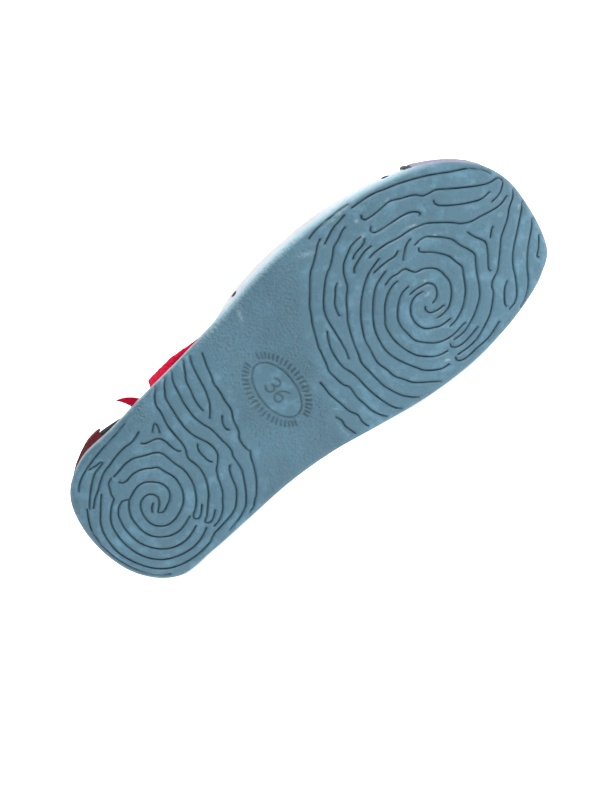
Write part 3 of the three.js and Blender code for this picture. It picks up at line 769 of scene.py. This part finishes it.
def rubber_material(settings):
    """Moulded rubber: grained on the shank, smoother on the ridges, with grooves darkened partly by
    grime and partly as painted shade, painted highlights on the ridge crowns and the outer edge,
    and pale marks that are partly scuffs and partly painted glints.
    """
    nodes = Nodes("moulded_rubber", Specular_IOR_Level=0.4)
    base = tuple(settings.rubber)
    cloud = nodes.noise(28, 4, 0.6)
    colour = nodes.mix(nodes.span(cloud, 0.32, 0.7), tint(base, 0.86), tint(base, 1.16))
    mottle = nodes.noise(520, 3, 0.6)
    colour = nodes.mix(nodes.span(mottle, 0.35, 0.75, 0, 0.35), colour, tint(base, 0.7))
    # Painted highlight: the ridge crowns are lightened, more so in streaky noise patches
    crown = nodes.attribute("crown")
    colour = nodes.mix(nodes.math("MULTIPLY", crown, 0.5), colour, tint(base, 1.02))
    crown_highlight_streaks = nodes.span(nodes.noise(150, 3, 0.6), 0.5, 0.72)
    colour = nodes.mix(nodes.math("MULTIPLY", nodes.math("MULTIPLY", crown, crown_highlight_streaks), 0.5),
                       colour, tint(base, 1.9))
    # Painted highlight on the outer rounded edge: lightened toward a pale blue
    pale = nodes.math("MULTIPLY", nodes.attribute("painted_edge_highlight"), 0.8)
    colour = nodes.mix(pale, colour, (0.42, 0.62, 0.7))
    # Pale marks, partly scuffs and partly painted glints
    specks = nodes.span(nodes.noise(900, 2), 0.3, 0.6)
    scuff_and_glint_mark = nodes.math("MULTIPLY", nodes.attribute("scuff_and_glint"), specks)
    colour = nodes.mix(scuff_and_glint_mark, colour, (0.26, 0.38, 0.44))
    # Grooves and medallion lines darkened: partly grime, partly painted shade
    uneven_dirt_and_shade = nodes.span(nodes.noise(110, 2), 0.35, 0.65, 0.45, 0.85)
    groove = nodes.math("MULTIPLY", nodes.attribute("groove"), uneven_dirt_and_shade)
    colour = nodes.mix(groove, colour, tint(base, 0.1))
    calm = nodes.attribute("calm")
    grain = nodes.add("ShaderNodeTexVoronoi", {"Vector": nodes.place, "Scale": 950.0},
                      feature="SMOOTH_F1").outputs["Distance"]
    fine = nodes.noise(1600, 2)
    rough_height = nodes.math("MULTIPLY", nodes.span(calm, 0, 1, 0.8, 0.15), grain)
    first = nodes.bump(rough_height, 0.8)
    second = nodes.bump(nodes.noise(260, 3), 0.3, under=first)
    third = nodes.bump(fine, 0.12, under=second)
    rough = nodes.span(nodes.noise(90, 4), 0.3, 0.7, 0.36, 0.52)
    return nodes.wire(Base_Color=colour, Roughness=rough, Normal=third)


def felt_material(name, colour, fuzz=0.04, zones=False, settings=None):
    """Pressed wool felt: short tangled fibres, a soft nap and small pills."""
    nodes = Nodes(name, Roughness=0.92, Sheen_Weight=fuzz, Sheen_Roughness=0.5,
                  Specular_IOR_Level=0.1)
    drift = nodes.noise(60, 4, 0.6)
    base = nodes.mix(nodes.span(drift, 0.3, 0.7), tint(colour, 0.93), tint(colour, 1.05))
    if zones:
        rear = nodes.mix(nodes.span(drift, 0.3, 0.7), tint(settings.rear, 0.8),
                         tint(settings.rear, 1.5))
        lining = nodes.mix(nodes.span(drift, 0.3, 0.7), tint(settings.fleece, 0.8),
                           tint(settings.fleece, 1.1))
        base = nodes.mix(nodes.attribute("rear"), base, rear)
        base = nodes.mix(nodes.attribute("inside"), base, lining)
    stretched = nodes.add("ShaderNodeMapping", {
        "Vector": nodes.place, "Scale": (1, 2.2, 2.6),
    }).outputs[0]
    fibres = nodes.noise(1500, 4, 0.7, stretched)
    shade = nodes.span(fibres, 0.3, 0.7, 0.0, 0.3)
    darker = nodes.mix(0.25, base, (0, 0, 0)) if zones else nodes.mix(0.5, base, tint(colour, 0.55))
    base = nodes.mix(shade, base, darker)
    first = nodes.bump(fibres, 0.35)
    second = nodes.bump(nodes.noise(420, 3, 0.6), 0.5, under=first)
    return nodes.wire(Base_Color=base, Normal=second)


def fleece_material(name, colour):
    """Short curled pile with painted shade in the gaps between the curls."""
    nodes = Nodes(name, Roughness=0.95, Sheen_Weight=0.12, Sheen_Roughness=0.4,
                  Specular_IOR_Level=0.1, Sheen_Tint=(*tint(colour, 1.4), 1))
    curls = nodes.add("ShaderNodeTexVoronoi", {"Vector": nodes.place, "Scale": 620.0},
                      feature="SMOOTH_F1").outputs["Distance"]
    hairs = nodes.noise(1900, 4, 0.7)
    drift = nodes.noise(90, 3)
    base = nodes.mix(nodes.span(drift, 0.3, 0.7), tint(colour, 0.85), tint(colour, 1.12))
    # Painted shade: the gaps between the curls are darkened
    base = nodes.mix(nodes.span(curls, 0.15, 0.75, 0.0, 0.6), base, tint(colour, 0.4))
    base = nodes.mix(nodes.span(hairs, 0.5, 0.8, 0.0, 0.35), base, tint(colour, 1.5))
    first = nodes.bump(curls, 0.9, strength=0.8)
    second = nodes.bump(hairs, 0.4, under=first)
    return nodes.wire(Base_Color=base, Normal=second)


def ribbon_material(name, colour):
    """Flat woven ribbon with fine ribs across it."""
    nodes = Nodes(name, Roughness=0.7, Sheen_Weight=0.2, Specular_IOR_Level=0.3)
    ribs = nodes.add("ShaderNodeTexWave", {
        "Vector": nodes.place, "Scale": 260.0, "Distortion": 0.6,
    }, bands_direction="DIAGONAL").outputs["Fac"]
    base = nodes.mix(nodes.span(ribs, 0, 1, 0, 0.5), tint(colour, 0.7), tint(colour, 1.8))
    return nodes.wire(Base_Color=base, Normal=nodes.bump(ribs, 0.15))


# Pieces
class SLIPPER_OT_sole(bpy.types.Operator):
    """Make the rubber sole with its charted tread"""

    bl_idname = "slipper.sole"
    bl_label = "Rubber sole"

    def execute(self, context):
        settings = context.scene.slipper_sole
        material = rubber_material(settings)
        for name, (start, end, columns, rows) in SOLE_PARTS.items():
            piece = sole_part(name, start, end, columns, rows, settings)
            finish_piece(piece, material, "outsole", "outsole", smooth_angle=60)
        return {"FINISHED"}


# Creases of the felt, in the shoe's millimetres: two ends, half width, depth (a ridge is
# negative), all on the skin nearest to the line
CREASES = [
    ((176, -30, 44), (168, 20, 48), 4.5, 0.9), ((186, -26, 40), (180, 24, 43), 4, -0.5),
    ((150, -44, 22), (158, -30, 48), 5, 0.7), ((196, -36, 18), (192, -22, 36), 4, 0.6),
    ((152, 42, 20), (160, 26, 46), 5, 0.8), ((130, -38, 24), (138, -22, 54), 6, 0.6),
    ((128, 36, 22), (134, 20, 54), 6, -0.6), ((104, -34, 20), (112, -30, 44), 5, 0.7),
    ((100, 34, 20), (108, 30, 42), 5, 0.8), ((24, -26, 22), (20, -24, 42), 4, 0.5),
    ((10, 20, 22), (8, 16, 44), 4, 0.5), ((214, 10, 36), (206, 30, 30), 4, 0.5),
    ((84, -32, 18), (90, -31, 30), 3.5, 0.5), ((82, 34, 18), (88, 33, 30), 3.5, 0.5),
]


CREASE_DEPTH = 1.7


def crease(points):
    """How far the felt sinks at points in the shoe's millimetres."""
    sunk = np.zeros(len(points))
    for start, end, wide, deep in CREASES:
        a, b = np.array(start, float), np.array(end, float)
        along = np.clip((points - a) @ (b - a) / ((b - a) @ (b - a)), 0, 1)
        distance = np.linalg.norm(points - a - along[:, None] * (b - a), axis=1)
        fade = 0.35 + 0.65 * np.sin(math.pi * along)
        sunk += CREASE_DEPTH * deep * np.exp(-((distance / wide) ** 2)) * fade
    return sunk


# Where the worn felt leans over its outer side: place along the shoe, half length, how far out
LEANS = ((28, 20, 3), (96, 14, -3.2), (150, 50, 1.3))


def lean(piece):
    """Presses the felt's outer side out or in above the sole's lip."""
    points = to_shoe(coordinates(piece.data))
    over = points[:, 2] - bed_height(points[:, 0]) - LIP_HEIGHT
    low, high = np.clip(over / 7, 0, 1), np.clip((over - 6) / 14, 0, 1)
    out = sum(far * np.exp(-(((points[:, 0] - at) / long) ** 2)) * (low if far > 0 else high)
              for at, long, far in LEANS)
    out *= np.clip(-points[:, 1] / 22, 0, 1)
    move_vertices(piece, coordinates(piece.data) - out[:, None] * MM * np.array(SHOE_Y))


MIDDLE_HEIGHT = 16.0


def outwardness(points, normals):
    """How much a shell's skin faces away from the foot: one outside, minus one inside."""
    middle = np.column_stack([points[:, 0], points[:, 1] * 0, np.full(len(points), MIDDLE_HEIGHT)])
    heel_pull = np.clip((40 - points[:, 0]) / 20, 0, 1)[:, None]
    middle[:, 0:1] += heel_pull * (44 - middle[:, 0:1])
    toe_pull = np.clip((points[:, 0] - 205) / 20, 0, 1)[:, None]
    middle[:, 0:1] += toe_pull * (203 - middle[:, 0:1])
    away = points - middle
    return np.einsum("ij,ij->i", normals, away) / np.linalg.norm(away, axis=1)


def soften(piece, unevenness, size, seed, creased=True, keep_edge=True):
    """Sinks the creases and adds a slight unevenness, both faces of the felt together."""
    points = to_shoe(coordinates(piece.data))
    normals = normals_of(piece)
    shift = unevenness * lumps(points, size, seed)
    if creased:
        shift -= crease(points)
    if keep_edge:
        floor = bed_height(points[:, 0]) + LIP_HEIGHT
        shift *= np.clip((points[:, 2] - floor) / 6, 0, 1)
    shift *= np.clip(outwardness(points, normals @ AXES.T) * 6, -1, 1)
    move_vertices(piece, coordinates(piece.data) + normals * (shift * MM)[:, None])


DIP_AT = 58.0


class SLIPPER_OT_upper(bpy.types.Operator):
    """Make the felt upper, one hollow shell"""

    bl_idname = "slipper.upper"
    bl_label = "Felt upper"

    def execute(self, context):
        settings = context.scene.slipper_upper
        piece = soft_copy("upper", "upper_felt", 1.08, 12)
        points = to_shoe(coordinates(piece.data))
        normals = normals_of(piece) @ AXES.T
        set_attribute(piece, "inside", np.clip(0.5 - outwardness(points, normals) * 6, 0, 1))
        set_attribute(piece, "rear", np.clip((DIP_AT - points[:, 0]) / 1.2 + 0.5, 0, 1))
        lean(piece)
        soften(piece, 0.22, 34, 3)
        material = felt_material("upper_felt", tuple(settings.felt), zones=True, settings=settings)
        finish_piece(piece, material, "upper", "upper")
        return {"FINISHED"}


# Dots that the photo shows, as place along the shoe and turn from the outer side over the foot in
# degrees, then the rows of the rest
SEEN_DOTS = ((99.5, 7), (118.5, 7), (204, 3))
DOT_STEP = 9.3
DOT_TURN = 22

# A dot's section: rings as share of its radius and height over the felt, and the middle's height
DOT_RINGS = ((1.0, -0.1), (0.98, 0.12), (0.6, 0.22))
DOT_HEIGHT = 0.25
DOT_SIDES = 18
DOT_GAP = 2.6
DOT_CEILING = 75


class SLIPPER_OT_dots(bpy.types.Operator):
    """Make the small flocked dots scattered over the upper's front"""

    bl_idname = "slipper.dots"
    bl_label = "Dots"

    def execute(self, context):
        settings = context.scene.slipper_upper
        shell = bpy.data.objects["upper_felt"]
        graph = bpy.context.evaluated_depsgraph_get()
        tree = BVHTree.FromObject(shell, graph)
        radius = settings.dot_size / 2
        rng = random.Random(36)
        vertices, faces = [], []
        spots = list(SEEN_DOTS)
        for column, x in enumerate(np.arange(76, 212, DOT_STEP)):
            for turn in np.arange(DOT_TURN + (column % 2) * DOT_TURN / 2, 176, DOT_TURN):
                spots.append((x + rng.uniform(-1.5, 1.5), turn + rng.uniform(-2, 2)))
        for x, turn in spots:
            angle = math.radians(max(turn, 3))
            centre = Vector(to_row([(x, 0, 14)])[0])
            way = Vector(np.array([0, -math.cos(angle), math.sin(angle)]) @ AXES)
            start = centre + way * 0.2
            place, normal, _, _ = tree.ray_cast(start, -way)
            if place is None or normal.dot(way) < 0.15 or not self.clear(place):
                continue
            self.add_disc(tree, place, normal, radius, vertices, faces)
        piece = new_mesh_object("upper_dots", vertices, faces)
        edit(piece, ("normals_make_consistent", {"inside": False}))
        finish_piece(piece, felt_material("dot_flock", (0.012, 0.012, 0.014), 0.2), "upper")
        return {"FINISHED"}

    @staticmethod
    def add_disc(tree, place, normal, radius, vertices, faces):
        """Adds a low domed disc that follows the felt."""
        side = normal.cross(SHOE_X).normalized()
        ahead = side.cross(normal).normalized()
        base = len(vertices)
        for ring, lift in DOT_RINGS:
            for k in range(DOT_SIDES):
                c = math.cos(2 * math.pi * k / DOT_SIDES) * radius * ring
                s = math.sin(2 * math.pi * k / DOT_SIDES) * radius * ring
                near, near_normal, _, _ = tree.find_nearest(place + ahead * c + side * s)
                vertices.append(near + near_normal * lift * MM)
        vertices.append(place + normal * DOT_HEIGHT * MM)
        for ring in range(len(DOT_RINGS) - 1):
            for k in range(DOT_SIDES):
                a = base + ring * DOT_SIDES + k
                b = base + ring * DOT_SIDES + (k + 1) % DOT_SIDES
                faces.append((a, b, b + DOT_SIDES, a + DOT_SIDES))
        top = base + (len(DOT_RINGS) - 1) * DOT_SIDES
        for k in range(DOT_SIDES):
            faces.append((top + k, top + (k + 1) % DOT_SIDES, top + DOT_SIDES))
        faces.append([base + k for k in range(DOT_SIDES)][::-1])

    @staticmethod
    def clear(place):
        """True on the bare front of the upper, away from the overlays."""
        for node in ("cuff", "toe_cap", "toe_stripe", "outsole"):
            tree = OVERLAY_TREES[node]
            if tree.find_nearest(place)[3] < DOT_GAP * MM:
                return False
        return to_shoe([place])[0][2] < DOT_CEILING


def node_tree(node):
    mesh = frame["nodes"][node].data
    return BVHTree.FromPolygons([v.co for v in mesh.vertices], [p.vertices for p in mesh.polygons])


OVERLAY_TREES = {node: node_tree(node) for node in ("cuff", "toe_cap", "toe_stripe", "outsole")}


# The cuff's pile, as layers of lumps: height, size, seed
PILE = ((0.16, 3, 11), (0.12, 1.9, 12), (0.25, 14, 13))
PILE_RISE = 0.25


class SLIPPER_OT_cuff(bpy.types.Operator):
    """Make the fleece cuff round the throat"""

    bl_idname = "slipper.cuff"
    bl_label = "Fleece cuff"

    def execute(self, context):
        settings = context.scene.slipper_upper
        piece = soft_copy("cuff", "cuff_fleece", 0.62, 16)
        lean(piece)
        points = to_shoe(coordinates(piece.data))
        normals = normals_of(piece)
        pile = sum(high * lumps(points, size, seed) for high, size, seed in PILE)
        move_vertices(piece, coordinates(piece.data) + normals * ((pile + PILE_RISE) * MM)[:, None])
        finish_piece(piece, fleece_material("red_fleece", tuple(settings.fleece)), "cuff", "cuff")
        return {"FINISHED"}


class SLIPPER_OT_overlays(bpy.types.Operator):
    """Make the heel counter, toe cap, toe stripe and side tab"""

    bl_idname = "slipper.overlays"
    bl_label = "Overlays"

    def execute(self, context):
        settings = context.scene.slipper_upper
        kinds = (
            ("heel_counter", "heel_counter_felt", 0.62, 14, tuple(settings.counter)),
            ("toe_cap", "toe_cap_felt", 0.62, 12, tuple(settings.toe)),
            ("side_tab", "side_tab_felt", 0.3, 4, tuple(settings.fleece)),
        )
        for node, name, voxel, smoothing, colour in kinds:
            piece = soft_copy(node, name, voxel, smoothing)
            if node == "heel_counter":
                lean(piece)
            soften(piece, 0.2, 30, 5, creased=node != "side_tab", keep_edge=False)
            finish_piece(piece, felt_material(name, colour), node, node)
        piece = soft_copy("toe_stripe", "toe_stripe_ribbon", 0.3, 8)
        soften(piece, 0.2, 30, 5, keep_edge=False)
        finish_piece(piece, ribbon_material("black_ribbon", (0.01, 0.01, 0.012)), "toe_stripe",
                     "toe_stripe")
        return {"FINISHED"}


class SLIPPER_OT_insole(bpy.types.Operator):
    """Make the towelling insole"""

    bl_idname = "slipper.insole"
    bl_label = "Insole"

    def execute(self, context):
        settings = context.scene.slipper_upper
        piece = soft_copy("insole", "insole_towelling", 1.3, 6)
        points = to_shoe(coordinates(piece.data))
        up = np.clip(normals_of(piece) @ AXES[2], 0, 1)
        heel = np.exp(-(((points[:, 0] - 38) / 22) ** 2 + ((points[:, 1] - 1) / 18) ** 2))
        ball = np.exp(-(((points[:, 0] - 165) / 26) ** 2 + ((points[:, 1] - 2) / 26) ** 2))
        shift = -(0.9 * heel + 0.7 * ball) + 0.12 * lumps(points, 4, 21)
        places = coordinates(piece.data) + (shift * up * MM)[:, None] * np.array(SHOE_Z)
        move_vertices(piece, places)
        finish_piece(piece, fleece_material("red_towelling", tint(tuple(settings.fleece), 0.72)),
                     "insole", "insole")
        return {"FINISHED"}


# Camera angle to the shoe, in its own frame
AIM = (111.2, 9.2, 0.0)
CAMERA_AWAY = 620.0
CAMERA_TILT = math.radians(9)
CAMERA_ROLL = math.radians(39.42)
LENS = 42.02
SENSOR = 24.0

# Studio: soft ambient light, area lights (name, place, size, power) and the lit backdrop
AMBIENT = 0.08
LIGHTS = (
    ("key", (0.4, -0.4, 1.0), 0.22, 12.0),
    ("fill", (0.6, -1.6, 0.7), 1.4, 1.0),
    ("back", (0.2, 1.0, 1.2), 1.2, 5.0),
)
GLOW = 1.0
GLOW_FROM_TO = (-0.2, 0.0)


class SLIPPER_OT_stage(bpy.types.Operator):
    """Set the camera, the pale floor and the soft lights"""

    bl_idname = "slipper.stage"
    bl_label = "Stage"

    def execute(self, context):
        self.camera()
        self.floor()
        self.lights()
        return {"FINISHED"}

    def camera(self):
        data = bpy.data.cameras.new("camera")
        data.sensor_fit = "AUTO"
        data.sensor_width = SENSOR
        data.lens = LENS
        data.clip_end = 50
        camera = bpy.data.objects.new("camera", data)
        bpy.context.scene.collection.objects.link(camera)
        tilt_c, tilt_s = math.cos(CAMERA_TILT), math.sin(CAMERA_TILT)
        back = -SHOE_Y * tilt_s - SHOE_Z * tilt_c
        along, across = SHOE_X, SHOE_Y * tilt_c - SHOE_Z * tilt_s
        right = along * math.cos(CAMERA_ROLL) + across * math.sin(CAMERA_ROLL)
        up = along * math.sin(CAMERA_ROLL) - across * math.cos(CAMERA_ROLL)
        place = Vector(to_row([AIM])[0]) + back * CAMERA_AWAY * MM
        camera.matrix_world = Matrix.Translation(place) @ Matrix(
            (right, up, back)).transposed().to_4x4()
        bpy.context.scene.camera = camera

    def floor(self):
        """A round sweep that rises on all sides, lit from within behind the slipper."""
        flat, bend, rise, steps, sides = 1.6, 1.2, 2.6, 16, 64
        profile = [(0.0, 0.0), (flat / 2, 0.0), (flat, 0.0)]
        for k in range(1, steps + 1):
            turn = math.pi / 2 * k / steps
            profile.append((flat + bend * math.sin(turn), bend - bend * math.cos(turn)))
        profile.append((flat + bend, rise))
        vertices = [(0.0, 0.0, 0.0)]
        for radius, height in profile[1:]:
            for k in range(sides):
                turn = 2 * math.pi * k / sides
                vertices.append((radius * math.cos(turn), radius * math.sin(turn), height))
        faces = [(0, 1 + k, 1 + (k + 1) % sides) for k in range(sides)]
        for ring in range(len(profile) - 2):
            low, high = 1 + ring * sides, 1 + (ring + 1) * sides
            faces += [(low + k, high + k, high + (k + 1) % sides, low + (k + 1) % sides)
                      for k in range(sides)]
        piece = new_mesh_object("studio_floor", vertices, faces)
        nodes = Nodes("pale_floor", Roughness=0.95, Specular_IOR_Level=0.0,
                      Emission_Color=(1, 1, 1, 1))
        depth = nodes.add("ShaderNodeSeparateXYZ", {0: nodes.place}).outputs["Y"]
        glow = nodes.span(depth, *GLOW_FROM_TO, 0.0, GLOW)
        pale = nodes.mix(nodes.noise(3, 2), (0.9, 0.9, 0.9), (0.93, 0.93, 0.93))
        piece.data.materials.append(nodes.wire(Base_Color=pale, Emission_Strength=glow))
        select_only(piece)
        bpy.ops.object.shade_smooth()

    def lights(self):
        world = bpy.data.worlds.new("studio")
        world.use_nodes = True
        background = world.node_tree.nodes["Background"]
        background.inputs["Color"].default_value = (1, 1, 1, 1)
        background.inputs["Strength"].default_value = AMBIENT
        bpy.context.scene.world = world
        bpy.context.scene.view_settings.view_transform = "Standard"
        for name, place, size, power in LIGHTS:
            data = bpy.data.lights.new(name, "AREA")
            data.size = size
            data.energy = power
            light = bpy.data.objects.new(name, data)
            light.location = place
            light.rotation_euler = (-Vector(place)).to_track_quat("-Z", "Y").to_euler()
            bpy.context.scene.collection.objects.link(light)


OPERATORS = (SLIPPER_OT_sole, SLIPPER_OT_upper, SLIPPER_OT_dots, SLIPPER_OT_cuff,
             SLIPPER_OT_overlays, SLIPPER_OT_insole, SLIPPER_OT_stage)


class SLIPPER_PT_panel(bpy.types.Panel):
    """The slipper's settings and its pieces"""

    bl_idname = "SLIPPER_PT_panel"
    bl_label = "House slipper"
    bl_space_type = "VIEW_3D"
    bl_region_type = "UI"
    bl_category = "Slipper"

    def draw(self, context):
        for settings in (context.scene.slipper_sole, context.scene.slipper_upper):
            for key in settings.__annotations__:
                self.layout.prop(settings, key)
        for operator in OPERATORS:
            self.layout.operator(operator.bl_idname)


CLASSES = (SoleSettings, UpperSettings, *OPERATORS, SLIPPER_PT_panel)


def register():
    for one in CLASSES:
        bpy.utils.register_class(one)
    bpy.types.Scene.slipper_sole = bpy.props.PointerProperty(type=SoleSettings)
    bpy.types.Scene.slipper_upper = bpy.props.PointerProperty(type=UpperSettings)


def unregister():
    del bpy.types.Scene.slipper_upper
    del bpy.types.Scene.slipper_sole
    for one in reversed(CLASSES):
        bpy.utils.unregister_class(one)


def main():
    register()
    bpy.ops.slipper.sole()
    bpy.ops.slipper.upper()
    bpy.ops.slipper.dots()
    bpy.ops.slipper.cuff()
    bpy.ops.slipper.overlays()
    bpy.ops.slipper.insole()
    bpy.ops.slipper.stage()


if __name__ == "__main__":
    main()
